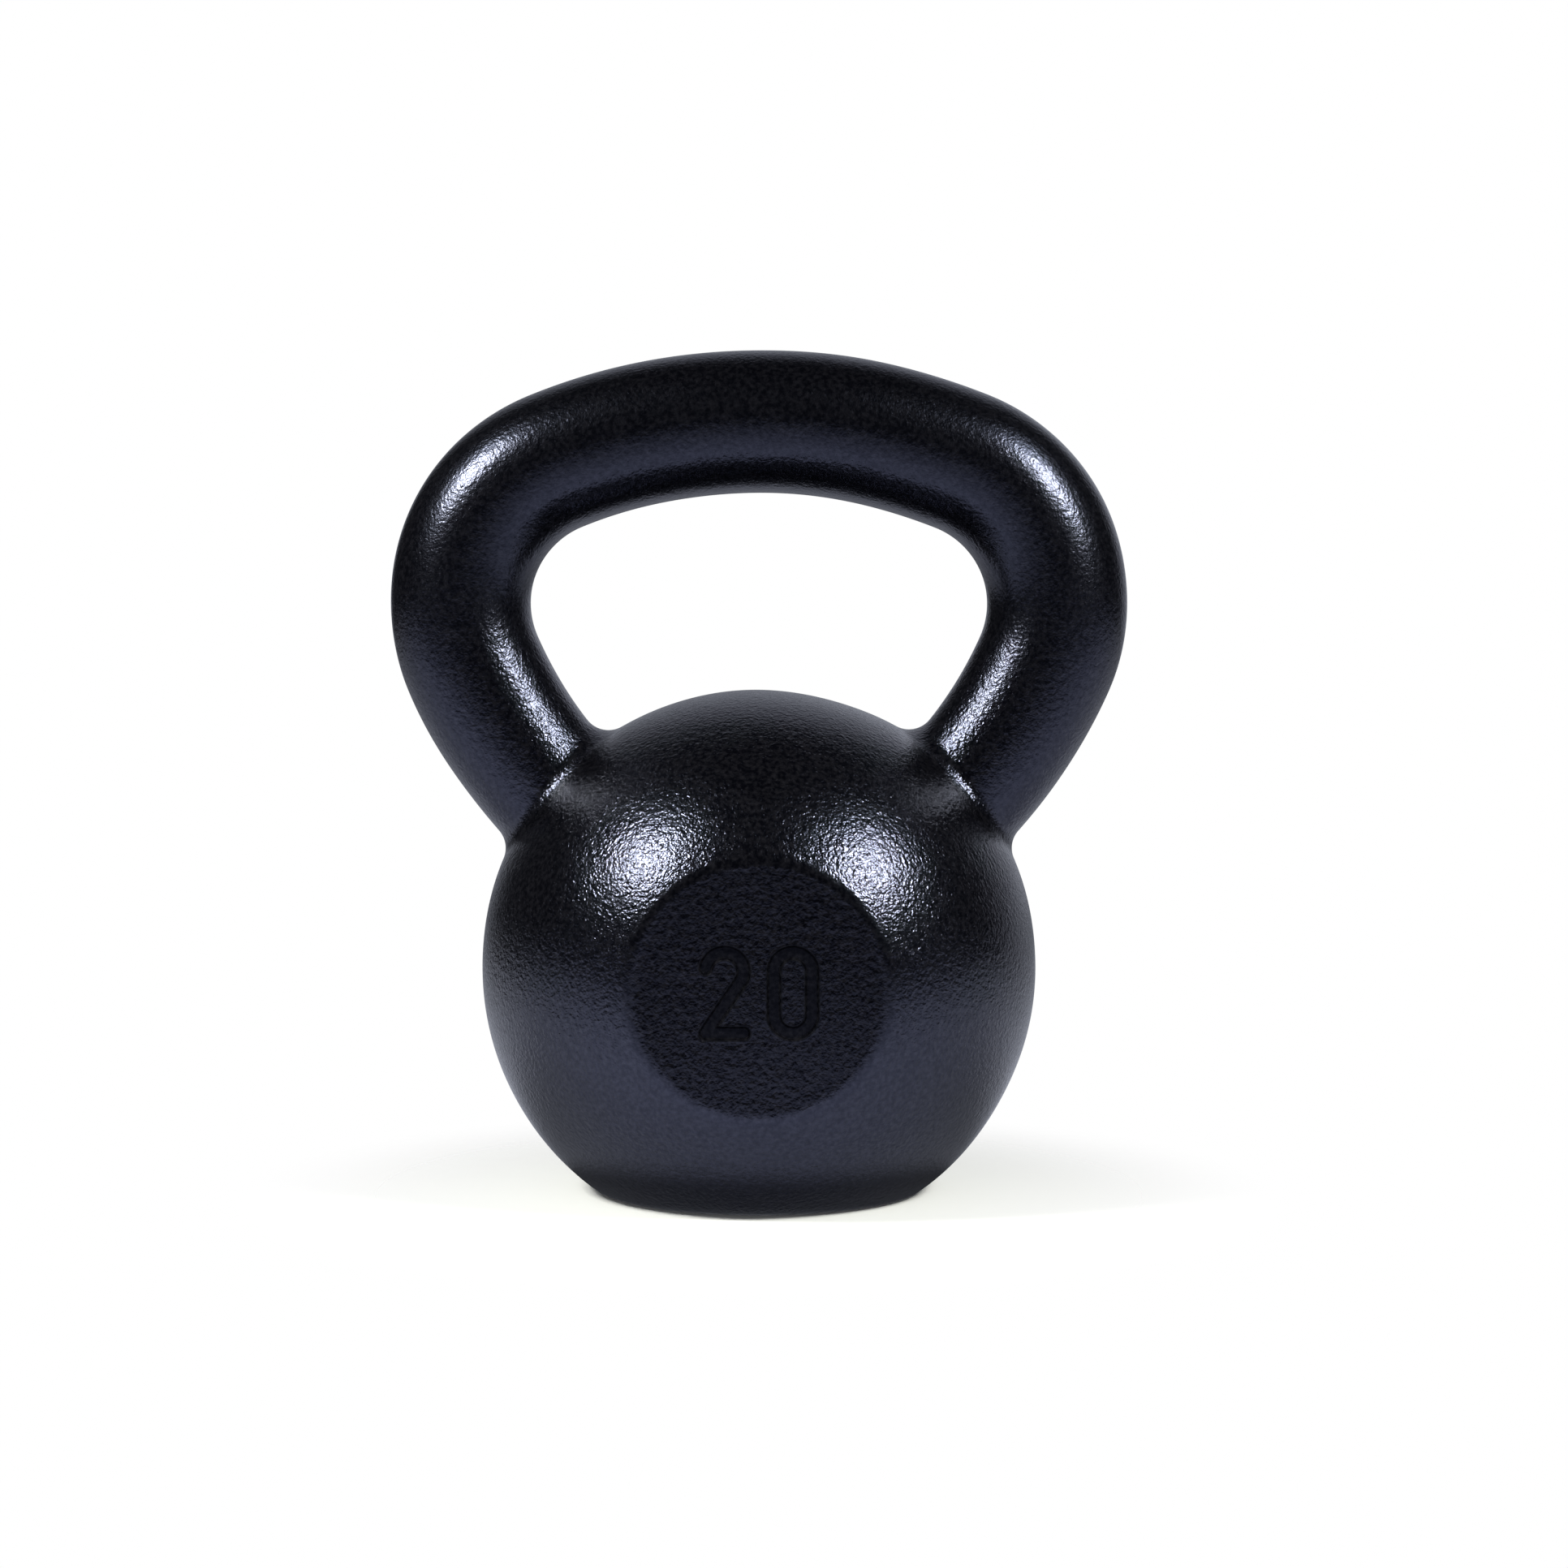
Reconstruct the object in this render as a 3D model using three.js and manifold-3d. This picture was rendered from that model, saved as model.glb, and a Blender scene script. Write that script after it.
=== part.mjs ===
// A 20 kg kettlebell: a round bell with a flat foot and a flat disc on its front and back,
// and a bent round handle whose two horns are let into sockets and welded round.
// Millimetres, +Z up, +X along the handle. The origin is the middle of the foot, on the floor.

import * as THREE from 'three';
import { ParametricGeometry } from 'three/addons/geometries/ParametricGeometry.js';
import { mergeVertices } from 'three/addons/utils/BufferGeometryUtils.js';
import Module from 'manifold-3d';

// ---- Driving dimensions, mm and degrees ----

const BELL_RADIUS = 83.1;
const BELL_CENTRE_HEIGHT = 67.6;
const FOOT_EDGE_RADIUS = 7.1;
const DISC_DISTANCE = 74.5; // from the handle's plane to each flat disc

const GRIP_RADIUS = 20.85;
const CROWN_HEIGHT = 229.8; // centreline of the crown above the floor
const CROWN_BEND = 163.0;
const CROWN_HALF_ANGLE = 21.7;
const SHOULDER_BEND = 45.3;
const SHOULDER_SWEEP = 91.4;
const HORN_BEND = 129.0;
const HORN_SWEEP = 19.0;
const SPIGOT_LENGTH = 15.0; // straight end of the bar, inside the bell

const WELD_SIDE_RADIUS = 8.0; // root fillet in the handle's plane
const WELD_FACE_RADIUS = 5.5; // root fillet at the front and back of the horn

const CAVITY_RADIUS = 14.0;
const CAVITY_TOP = 40.0;
const PLUG_RADIUS = 17.2;
const PLUG_RECESS = 1.0; // the plug's face above the floor
const PLUG_SEAT = 7.0; // height of the ledge that the plug stops on
const PLUG_KEY_FLATS = 10.0;
const PLUG_KEY_DEPTH = 3.5;

const FIGURE_HEIGHT = 26.0;
const FIGURE_WIDTH = 14.0;
const FIGURE_STROKE = 3.4;
const FIGURE_SPACING = 19.0;
const FIGURE_DEPTH = 1.2;

const GAP = 0.3; // kept wherever two pieces touch

// ---- How finely round shapes are faceted ----

const BELL_SEGMENTS = 56;
const GRIP_SEGMENTS = 32;
const GRIP_STEPS = 60;
const WELD_TURNS = 36;
const WELD_ARC_POINTS = 5;
const FIGURE_SEGMENTS = 10;

const rad = THREE.MathUtils.degToRad;

// ---- Solids ----

const wasm = await Module();
wasm.setup();

/** A closed geometry, with its shared corners merged, as a solid that can be joined and cut. */
function toSolid(geometry) {
  const bare = geometry.clone();
  bare.deleteAttribute('normal');
  bare.deleteAttribute('uv');
  const merged = mergeVertices(bare, 1e-4);
  return new wasm.Manifold(new wasm.Mesh({
    numProp: 3,
    vertProperties: new Float32Array(merged.attributes.position.array),
    triVerts: new Uint32Array(merged.index.array),
  }));
}

/** The geometry of a solid, with flat-shaded faces. */
function toGeometry(solid) {
  const mesh = solid.getMesh();
  const geometry = new THREE.BufferGeometry();
  geometry.setAttribute('position', new THREE.BufferAttribute(mesh.vertProperties, 3));
  geometry.setIndex(new THREE.BufferAttribute(mesh.triVerts, 1));
  geometry.computeVertexNormals();
  return geometry;
}

/** A closed cylinder standing on z = bottom. */
function uprightCylinder(radius, bottom, top, segments) {
  const geometry = new THREE.CylinderGeometry(radius, radius, top - bottom, segments);
  geometry.rotateX(Math.PI / 2);
  geometry.translate(0, 0, (bottom + top) / 2);
  return geometry;
}

// ---- The handle's centreline ----

const bellCentre = new THREE.Vector3(0, 0, BELL_CENTRE_HEIGHT);

/** The right half's bends from the crown's middle down: where each starts and how it turns. */
const bends = [];
let reached = 0;
let corner = new THREE.Vector2(0, CROWN_HEIGHT);
let heading = 0;
for (const [bend, sweep] of [
  [CROWN_BEND, rad(CROWN_HALF_ANGLE)],
  [SHOULDER_BEND, rad(SHOULDER_SWEEP)],
  [HORN_BEND, rad(HORN_SWEEP)],
]) {
  const centre = new THREE.Vector2(
    corner.x - bend * Math.sin(heading),
    corner.y - bend * Math.cos(heading),
  );
  bends.push({ start: reached, bend, heading, centre });
  heading += sweep;
  reached += bend * sweep;
  corner = new THREE.Vector2(
    centre.x + bend * Math.sin(heading),
    centre.y + bend * Math.cos(heading),
  );
}
const HALF_LENGTH = reached + SPIGOT_LENGTH;
const spigotStart = { along: reached, corner, heading };

/**
 * Where the centreline is, and which way is outward, at a distance along it from the crown's
 * middle: round each bend in turn, then straight into the bell. A negative distance is the
 * left half, the mirror image of the right half.
 */
function centreline(distance) {
  const along = Math.abs(distance);
  const side = distance < 0 ? -1 : 1;
  let x;
  let z;
  let turned;
  if (along > spigotStart.along) {
    const past = along - spigotStart.along;
    turned = spigotStart.heading;
    x = spigotStart.corner.x + past * Math.cos(turned);
    z = spigotStart.corner.y - past * Math.sin(turned);
  } else {
    const arc = bends.findLast((each) => along >= each.start);
    turned = arc.heading + (along - arc.start) / arc.bend;
    x = arc.centre.x + arc.bend * Math.sin(turned);
    z = arc.centre.y + arc.bend * Math.cos(turned);
  }
  return {
    point: new THREE.Vector3(side * x, 0, z),
    outward: new THREE.Vector3(side * Math.sin(turned), 0, Math.cos(turned)),
    forward: new THREE.Vector3(side * Math.cos(turned), 0, -Math.sin(turned)),
  };
}

/** The whole centreline, from the left spigot's end over the crown to the right one's. */
class HandleLine extends THREE.Curve {
  getPoint(t, target = new THREE.Vector3()) {
    return target.copy(centreline((2 * t - 1) * HALF_LENGTH).point);
  }
}

// ---- Pieces ----

/** The bent bar: one round section carried along the centreline. */
function handleBar() {
  const section = new THREE.Shape();
  section.absarc(0, 0, GRIP_RADIUS, 0, 2 * Math.PI);
  return new THREE.ExtrudeGeometry(section, {
    steps: GRIP_STEPS,
    curveSegments: GRIP_SEGMENTS / 2,
    extrudePath: new HandleLine(),
  });
}

/** The bell's outline turned about the upright axis: flat foot, rounded edge, then the ball. */
function bellBall() {
  const edgeCentre = Math.sqrt(
    (BELL_RADIUS - FOOT_EDGE_RADIUS) ** 2 - (BELL_CENTRE_HEIGHT - FOOT_EDGE_RADIUS) ** 2,
  );
  const edgeSweep = Math.PI / 2
    - Math.atan2(BELL_CENTRE_HEIGHT - FOOT_EDGE_RADIUS, edgeCentre);
  const profile = [new THREE.Vector2(0, 0)];
  const edgeSteps = 5;
  for (let i = 0; i <= edgeSteps; i += 1) {
    const angle = -Math.PI / 2 + edgeSweep * (i / edgeSteps);
    profile.push(new THREE.Vector2(
      edgeCentre + FOOT_EDGE_RADIUS * Math.cos(angle),
      FOOT_EDGE_RADIUS + FOOT_EDGE_RADIUS * Math.sin(angle),
    ));
  }
  const ballStart = -Math.PI / 2 + edgeSweep;
  const ballSteps = BELL_SEGMENTS / 2 - edgeSteps;
  for (let i = 1; i <= ballSteps; i += 1) {
    const angle = ballStart + (Math.PI / 2 - ballStart) * (i / ballSteps);
    const radius = i === ballSteps ? 0 : BELL_RADIUS * Math.cos(angle);
    profile.push(new THREE.Vector2(radius, BELL_CENTRE_HEIGHT + BELL_RADIUS * Math.sin(angle)));
  }
  const geometry = new THREE.LatheGeometry(profile, BELL_SEGMENTS);
  geometry.rotateX(Math.PI / 2);
  return geometry;
}

/** What is taken off the ball to leave a flat disc; side is -1 at the front, 1 at the back. */
function discCut(side) {
  const depth = BELL_RADIUS;
  const geometry = new THREE.BoxGeometry(2 * BELL_RADIUS, depth, 2 * BELL_RADIUS);
  geometry.translate(0, side * (DISC_DISTANCE + depth / 2), BELL_CENTRE_HEIGHT);
  return geometry;
}

/** The blind hole that takes the bar's end, with a gap all round and under it. */
function socketCut(side) {
  const end = centreline(side * (HALF_LENGTH + GAP));
  const length = 2 * SPIGOT_LENGTH;
  const geometry = new THREE.CylinderGeometry(
    GRIP_RADIUS + GAP, GRIP_RADIUS + GAP, length, GRIP_SEGMENTS,
  );
  const turn = new THREE.Quaternion().setFromUnitVectors(new THREE.Vector3(0, 1, 0), end.forward);
  geometry.applyQuaternion(turn);
  const middle = end.point.clone().addScaledVector(end.forward, -length / 2);
  geometry.translate(middle.x, middle.y, middle.z);
  return geometry;
}

/** A flat outline in the front disc's plane as a block that reaches into the disc. */
function sunk(outline) {
  const geometry = new THREE.ExtrudeGeometry(outline, {
    depth: 2 * FIGURE_DEPTH,
    curveSegments: FIGURE_SEGMENTS,
    bevelEnabled: false,
  });
  geometry.rotateX(Math.PI / 2);
  geometry.translate(0, FIGURE_DEPTH - DISC_DISTANCE, BELL_CENTRE_HEIGHT);
  return geometry;
}

/** The outline of a stroke: the points on each side of a line, half the stroke away from it. */
function strokeOutline(line, steps) {
  const half = FIGURE_STROKE / 2;
  const left = [];
  const right = [];
  for (let i = 0; i <= steps; i += 1) {
    const point = line.getPointAt(i / steps);
    const tangent = line.getTangentAt(i / steps);
    left.push(new THREE.Vector2(point.x - half * tangent.y, point.y + half * tangent.x));
    right.push(new THREE.Vector2(point.x + half * tangent.y, point.y - half * tangent.x));
  }
  return new THREE.Shape([...left, ...right.reverse()]);
}

/**
 * The strokes of a 2: one that goes round the bowl and leaves it on a tangent down to the
 * left corner, and a straight foot from that corner.
 */
function figureTwo(middle) {
  const bowl = (FIGURE_WIDTH - FIGURE_STROKE) / 2;
  const top = (FIGURE_HEIGHT - FIGURE_STROKE) / 2;
  const hub = new THREE.Vector2(middle, top - bowl);
  const low = new THREE.Vector2(middle - bowl, -top);
  const drop = low.clone().sub(hub);
  const leave = Math.atan2(drop.y, drop.x) + Math.acos(bowl / drop.length());
  const neck = new THREE.Vector2(
    hub.x + bowl * Math.cos(leave),
    hub.y + bowl * Math.sin(leave),
  );
  const sweep = new THREE.CurvePath();
  sweep.add(new THREE.EllipseCurve(hub.x, hub.y, bowl, bowl, rad(170), leave, true));
  sweep.add(new THREE.LineCurve(neck, low));
  const foot = new THREE.LineCurve(
    new THREE.Vector2(low.x - FIGURE_STROKE / 2, -top),
    new THREE.Vector2(middle + FIGURE_WIDTH / 2, -top),
  );
  return [sunk(strokeOutline(sweep, 3 * FIGURE_SEGMENTS)), sunk(strokeOutline(foot, 1))];
}

/** An upright outline with straight sides and half-round ends. */
function roundEnded(path, middle, radius) {
  const rise = (FIGURE_HEIGHT - FIGURE_WIDTH) / 2;
  path.absarc(middle, rise, radius, 0, Math.PI);
  path.absarc(middle, -rise, radius, Math.PI, 2 * Math.PI);
  path.closePath();
  return path;
}

/** The ring of a 0: a round-ended outline with a smaller one left standing inside it. */
function figureNought(middle) {
  const outline = roundEnded(new THREE.Shape(), middle, FIGURE_WIDTH / 2);
  outline.holes.push(roundEnded(new THREE.Path(), middle, FIGURE_WIDTH / 2 - FIGURE_STROKE));
  return [sunk(outline)];
}

/** The iron bell: the ball, less its discs, sockets, sunk figures and adjusting cavity. */
function bellCasting() {
  const seat = PLUG_RADIUS + GAP;
  const cuts = [
    discCut(-1),
    discCut(1),
    socketCut(-1),
    socketCut(1),
    uprightCylinder(seat, -1, PLUG_SEAT, BELL_SEGMENTS),
    uprightCylinder(CAVITY_RADIUS, PLUG_SEAT - 1, CAVITY_TOP, BELL_SEGMENTS),
    ...figureTwo(-FIGURE_SPACING / 2),
    ...figureNought(FIGURE_SPACING / 2),
  ];
  let solid = toSolid(bellBall());
  for (const cut of cuts) {
    solid = solid.subtract(toSolid(cut));
  }
  return toGeometry(solid);
}

/**
 * Distance along the centreline at which a point held at a given reach from it, turned round
 * the bar by an angle, comes to a given distance from the bell's centre. Found by halving.
 */
function whereItMeets(side, turn, reach, fromBell) {
  let near = spigotStart.along - 3 * GRIP_RADIUS;
  let far = HALF_LENGTH;
  for (let i = 0; i < 40; i += 1) {
    const middle = (near + far) / 2;
    const away = aroundBar(side * middle, turn, reach).distanceTo(bellCentre);
    if (away > fromBell) {
      near = middle;
    } else {
      far = middle;
    }
  }
  return side * near;
}

/** The direction square to the bar that is turned from its outer side by an angle. */
function radial(distance, turn) {
  const { outward } = centreline(distance);
  return outward.clone().multiplyScalar(Math.cos(turn)).setY(Math.sin(turn));
}

/** The point at a given reach from the centreline, turned round the bar by an angle. */
function aroundBar(distance, turn, reach) {
  return centreline(distance).point.addScaledVector(radial(distance, turn), reach);
}

/**
 * One section of the weld at an angle round the horn: the inner corner between bar and ball,
 * then the hollow arc of a small ball rolled along the root, touching both. The arc stops just
 * short of each end, so that its edges have some thickness.
 */
function weldSection(side, turn) {
  const fillet = WELD_FACE_RADIUS
    + (WELD_SIDE_RADIUS - WELD_FACE_RADIUS) * Math.cos(turn) ** 2;
  const barReach = GRIP_RADIUS + GAP;
  const bellReach = BELL_RADIUS + GAP;
  const inner = aroundBar(whereItMeets(side, turn, barReach, bellReach), turn, barReach);
  const hubAt = whereItMeets(side, turn, GRIP_RADIUS + fillet, BELL_RADIUS + fillet);
  const hub = aroundBar(hubAt, turn, GRIP_RADIUS + fillet);
  const toBar = radial(hubAt, turn).negate();
  const toBell = bellCentre.clone().sub(hub).normalize();
  const sweep = toBar.angleTo(toBell);
  const section = [inner];
  const edge = 0.12;
  const barFoot = hub.clone().addScaledVector(toBar, fillet - GAP);
  const bellFoot = hub.clone().addScaledVector(toBell, fillet - GAP);
  section.push(barFoot.lerp(inner, edge));
  for (let i = 0; i < WELD_ARC_POINTS; i += 1) {
    const part = edge + (1 - 2 * edge) * (i / (WELD_ARC_POINTS - 1));
    const ray = toBar.clone().multiplyScalar(Math.sin((1 - part) * sweep) / Math.sin(sweep));
    ray.addScaledVector(toBell, Math.sin(part * sweep) / Math.sin(sweep));
    section.push(hub.clone().addScaledVector(ray, fillet - GAP));
  }
  section.push(bellFoot.lerp(inner, edge));
  return section;
}

/** The root fillet run round one horn: its sections joined into a closed ring. */
function hornWeld(side) {
  const sections = [];
  for (let i = 0; i < WELD_TURNS; i += 1) {
    sections.push(weldSection(side, (2 * Math.PI * i) / WELD_TURNS));
  }
  const around = sections[0].length;
  return new ParametricGeometry((u, v, target) => {
    const section = sections[Math.round(u * WELD_TURNS) % WELD_TURNS];
    const place = Math.round(v * around) % around;
    target.copy(section[side < 0 ? place : (around - place) % around]);
  }, WELD_TURNS, around);
}

/** The screw plug that closes the cavity, with a hexagon socket for a key in its lower face. */
function basePlug() {
  const disc = toSolid(uprightCylinder(PLUG_RADIUS, PLUG_RECESS, PLUG_SEAT - GAP, BELL_SEGMENTS));
  const acrossCorners = PLUG_KEY_FLATS / Math.sqrt(3);
  const key = uprightCylinder(acrossCorners, PLUG_RECESS - 1, PLUG_RECESS + PLUG_KEY_DEPTH, 6);
  return toGeometry(disc.subtract(toSolid(key)));
}

/** The packed filling that trims the bell to its marked mass. */
function trimBallast() {
  return uprightCylinder(CAVITY_RADIUS - GAP, PLUG_SEAT, CAVITY_TOP - GAP, BELL_SEGMENTS);
}

// ---- Finishes ----

/** Black powder coat over iron. */
function powderCoat() {
  return new THREE.MeshStandardMaterial({ color: 0x0d0e12, roughness: 0.35, metalness: 0.1 });
}

/** Bare zinc-plated steel. */
function platedSteel() {
  return new THREE.MeshStandardMaterial({ color: 0x8b8d90, roughness: 0.4, metalness: 0.9 });
}

// ---- Assembly ----

const kettlebell = new THREE.Group();

/** Puts a named piece with its own material into the kettlebell. */
function addPiece(name, geometry, material) {
  const mesh = new THREE.Mesh(geometry, material);
  mesh.name = name;
  kettlebell.add(mesh);
}

addPiece('bell_casting', bellCasting(), powderCoat());
addPiece('handle_bar', handleBar(), powderCoat());
addPiece('left_horn_weld', hornWeld(-1), powderCoat());
addPiece('right_horn_weld', hornWeld(1), powderCoat());
addPiece('trim_ballast', trimBallast(), platedSteel());
addPiece('base_plug', basePlug(), platedSteel());

export default kettlebell;
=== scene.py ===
"""A 20 kg kettlebell: black powder-coated iron bell, bent handle, welded roots and a steel base plug.

Every surface is worked out from a few dimensions, in metres, in the frame of the CAD model:
+Z up, +X along the handle, the front disc facing -Y, and the origin in the middle of the foot.
"""

import math

import bpy
import numpy as np
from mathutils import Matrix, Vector


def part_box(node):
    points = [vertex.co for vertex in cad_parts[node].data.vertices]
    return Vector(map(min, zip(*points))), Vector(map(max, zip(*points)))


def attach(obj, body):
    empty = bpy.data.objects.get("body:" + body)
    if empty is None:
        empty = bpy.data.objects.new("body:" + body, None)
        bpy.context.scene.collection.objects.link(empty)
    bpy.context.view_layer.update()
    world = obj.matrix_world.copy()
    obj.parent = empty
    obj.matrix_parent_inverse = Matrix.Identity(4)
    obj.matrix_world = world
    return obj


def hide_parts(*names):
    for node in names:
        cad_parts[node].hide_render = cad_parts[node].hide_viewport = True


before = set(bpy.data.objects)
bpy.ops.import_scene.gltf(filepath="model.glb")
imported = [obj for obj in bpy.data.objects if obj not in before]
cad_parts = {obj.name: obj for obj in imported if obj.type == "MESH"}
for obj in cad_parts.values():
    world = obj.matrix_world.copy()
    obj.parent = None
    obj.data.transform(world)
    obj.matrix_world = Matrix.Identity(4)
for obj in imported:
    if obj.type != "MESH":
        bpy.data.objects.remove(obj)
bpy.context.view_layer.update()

MM = 0.001

# ---- Sizes taken from the frame ----

_, BELL_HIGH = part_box("bell_casting")
_, HANDLE_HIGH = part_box("handle_bar")
PLUG_LOW, PLUG_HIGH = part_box("base_plug")

BELL_RADIUS = 83.1 * MM
BELL_CENTRE = Vector((0, 0, BELL_HIGH.z - BELL_RADIUS))
DISC_DISTANCE = BELL_HIGH.y
GRIP_RADIUS = HANDLE_HIGH.y
CROWN_HEIGHT = HANDLE_HIGH.z - GRIP_RADIUS

# ---- Sizes of the design ----

FOOT_EDGE_RADIUS = 7.1 * MM
DISC_EDGE_RADIUS = 7.5 * MM

# The right half of the handle's centreline, from the crown's middle down: (bend radius, sweep).
BENDS = (
    (163.0 * MM, math.radians(21.7)),
    (45.3 * MM, math.radians(91.4)),
    (129.0 * MM, math.radians(19.0)),
)
HORN_INSIDE = 6.0 * MM  # how far the shown bar runs on into the bell

WELD_SIDE_RADIUS = 8.0 * MM
WELD_FACE_RADIUS = 5.5 * MM

FIGURE_HEIGHT = 26.0 * MM
FIGURE_WIDTH = 14.0 * MM
FIGURE_STROKE = 3.4 * MM
FIGURE_SPACING = 19.0 * MM
FIGURE_DEPTH = 1.2 * MM
FIGURE_WALL = 0.5 * MM  # width of the sloping wall round a sunk figure
FIGURE_LIP = 0.05 * MM  # height of the rounded lip outside that wall
FIGURE_LIP_WIDTH = 0.5 * MM  # from the lip's ridge to either side of it
FINE_RINGS_REACH = 20.0 * MM  # how far out from the disc's middle the bell's rings are closest

# A cast or coated surface wanders over long waves, and the discs have lumps of their own.
WAVE_DEPTH = 0.10 * MM
WAVE_LENGTH = 48.0 * MM
DISC_LUMP_DEPTH = 0.016 * MM
DISC_LUMP_LENGTH = 3.0 * MM

SEAT_RADIUS = PLUG_HIGH.x + 0.3 * MM
SEAT_HEIGHT = PLUG_HIGH.z + 0.3 * MM
KEY_FLATS = 10.0 * MM
KEY_DEPTH = 3.5 * MM


# ---- Camera ----

def look_from_front():
    """A long lens a little above the bell, aimed between the bell and the crown."""
    distance = 930 * MM
    elevation = math.radians(5.8)
    frame_width = 473.1 * MM  # what the sensor's width takes in at the bell's centre
    aim_right = 7.6 * MM
    aim_up = 55.0 * MM
    back = Vector((0, -math.cos(elevation), math.sin(elevation)))
    data = bpy.data.cameras.new("front_view")
    data.sensor_width = 36.0
    data.lens = data.sensor_width * distance / frame_width
    data.clip_start = 0.05
    data.clip_end = 20.0
    data.shift_x = aim_right / frame_width
    data.shift_y = aim_up / frame_width
    camera = bpy.data.objects.new("front_view", data)
    camera.location = BELL_CENTRE + back * distance
    camera.rotation_mode = "QUATERNION"
    camera.rotation_quaternion = (-back).to_track_quat("-Z", "Y")
    bpy.context.scene.collection.objects.link(camera)
    bpy.context.scene.camera = camera


look_from_front()


# ---- Meshes from arrays ----

def enclosed_volume(points, triangles):
    """Six times the signed volume inside: the sum of every triangle's triple product."""
    a, b, c = (points[triangles[:, k]] for k in range(3))
    return float(np.einsum("ij,ij->", a, np.cross(b, c)))


def surface(name, points, quads, triangles=None):
    """A closed mesh object from corner positions, four-sided faces and, at poles, three-sided ones."""
    quads = np.asarray(quads).reshape(-1, 4)
    caps = np.zeros((0, 3), int) if triangles is None else np.asarray(triangles).reshape(-1, 3)
    halves = np.vstack([quads[:, [0, 1, 2]], quads[:, [0, 2, 3]], caps])
    if enclosed_volume(points, halves) < 0:
        quads, caps = quads[:, ::-1], caps[:, ::-1]
    mesh = bpy.data.meshes.new(name)
    mesh.from_pydata(points, [], quads.tolist() + caps.tolist())
    mesh.validate()
    mesh.shade_smooth()
    piece = bpy.data.objects.new(name, mesh)
    bpy.context.scene.collection.objects.link(piece)
    return piece


def round_grid(rows, columns, start=0):
    """Quads between rings of equal length, each ring closed on itself; start numbers the first."""
    row, column = np.meshgrid(np.arange(rows - 1), np.arange(columns), indexing="ij")
    beside = (column + 1) % columns
    corners = [row * columns + column, row * columns + beside,
               (row + 1) * columns + beside, (row + 1) * columns + column]
    return np.stack(corners, axis=-1).reshape(-1, 4) + start


def fan(pole, ring_start, columns, flip):
    """Triangles that close a ring of corners onto one pole."""
    column = np.arange(columns)
    beside = (column + 1) % columns
    pair = (beside, column) if flip else (column, beside)
    return np.stack([np.full(columns, pole), pair[0] + ring_start, pair[1] + ring_start], axis=-1)


def capped_tube(name, rings):
    """Rings of corners joined in turn, with each open end closed onto the middle of its ring."""
    rows, columns, _ = rings.shape
    points = np.vstack([rings.reshape(-1, 3), rings[0].mean(axis=0), rings[-1].mean(axis=0)])
    first, last = rows * columns, rows * columns + 1
    caps = np.vstack([
        fan(first, 0, columns, True),
        fan(last, (rows - 1) * columns, columns, False),
    ])
    return surface(name, points, round_grid(rows, columns), caps)


def note_on_corners(piece, name, values):
    """Keeps one number for each corner of a mesh, for its material to read."""
    layer = piece.data.attributes.new(name, "FLOAT", "POINT")
    layer.data.foreach_set("value", np.asarray(values, dtype=np.float32).ravel())


def spread(stretches):
    """Numbers from end to end of several stretches in turn, each with its own count of steps."""
    parts = [np.linspace(low, high, steps, endpoint=False) for low, high, steps in stretches]
    return np.concatenate(parts + [[stretches[-1][1]]])


def smooth_step(value):
    """0 below 0 and 1 above 1, with a level start and end between."""
    value = np.clip(value, 0, 1)
    return value * value * (3 - 2 * value)


def band(offset, full, fade):
    """1 within the full distance of zero on either side, then down to 0 over the fade."""
    return smooth_step((full + fade - np.abs(offset)) / fade)


def ripples(points, wavelength, seed, waves=32):
    """A smooth random field of about unit strength: plane waves of one length in many directions."""
    random = np.random.default_rng(seed)
    direction = random.normal(size=(waves, 3))
    direction /= np.linalg.norm(direction, axis=1, keepdims=True)
    length = wavelength * random.uniform(0.75, 1.35, size=(waves, 1))
    phase = random.uniform(0, 2 * math.pi, size=waves)
    return np.cos(points @ (direction * 2 * math.pi / length).T + phase).sum(axis=1) * math.sqrt(2 / waves)


def cast_waviness(points):
    """How far a cast or coated surface wanders from its true shape, as a depth at each point."""
    return WAVE_DEPTH * ripples(points, WAVE_LENGTH, seed=3)


# ---- The bell ----

def flat_reach(angle, distance, edge):
    """
    Distance from the bell's centre to its surface, in directions at an angle from a flat's axis.
    The flat is a plane across the axis, and an arc of the edge radius rolls it into the ball:
    the arc's centre lies one edge radius inside both. Past the arc it is the ball.
    """
    hub = np.array([distance - edge, 0.0])
    hub[1] = math.sqrt((BELL_RADIUS - edge) ** 2 - hub[0] ** 2)
    on_plane = angle < math.atan2(hub[1], distance)
    on_arc = angle < math.atan2(hub[1], hub[0])
    along = np.cos(angle) * hub[0] + np.sin(angle) * hub[1]
    arc = along + np.sqrt(np.maximum(edge ** 2 - hub @ hub + along ** 2, 0))
    plane = distance / np.maximum(np.cos(angle), 1e-6)
    return np.where(on_plane, plane, np.where(on_arc, arc, BELL_RADIUS))


def bell_reach(direction):
    """Distance from the bell's centre to its surface: the least of its foot's and its discs'."""
    foot = flat_reach(np.arccos(np.clip(-direction[:, 2], -1, 1)), BELL_CENTRE.z, FOOT_EDGE_RADIUS)
    disc = flat_reach(np.arccos(np.abs(direction[:, 1]).clip(0, 1)), DISC_DISTANCE, DISC_EDGE_RADIUS)
    return np.minimum(foot, disc)


def to_segment(across, up, start, end):
    """Distance in the disc's plane from each point to a straight line between two points."""
    run = np.array(end) - np.array(start)
    part = ((across - start[0]) * run[0] + (up - start[1]) * run[1]) / (run @ run)
    part = np.clip(part, 0, 1)
    return np.hypot(across - start[0] - part * run[0], up - start[1] - part * run[1])


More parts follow.
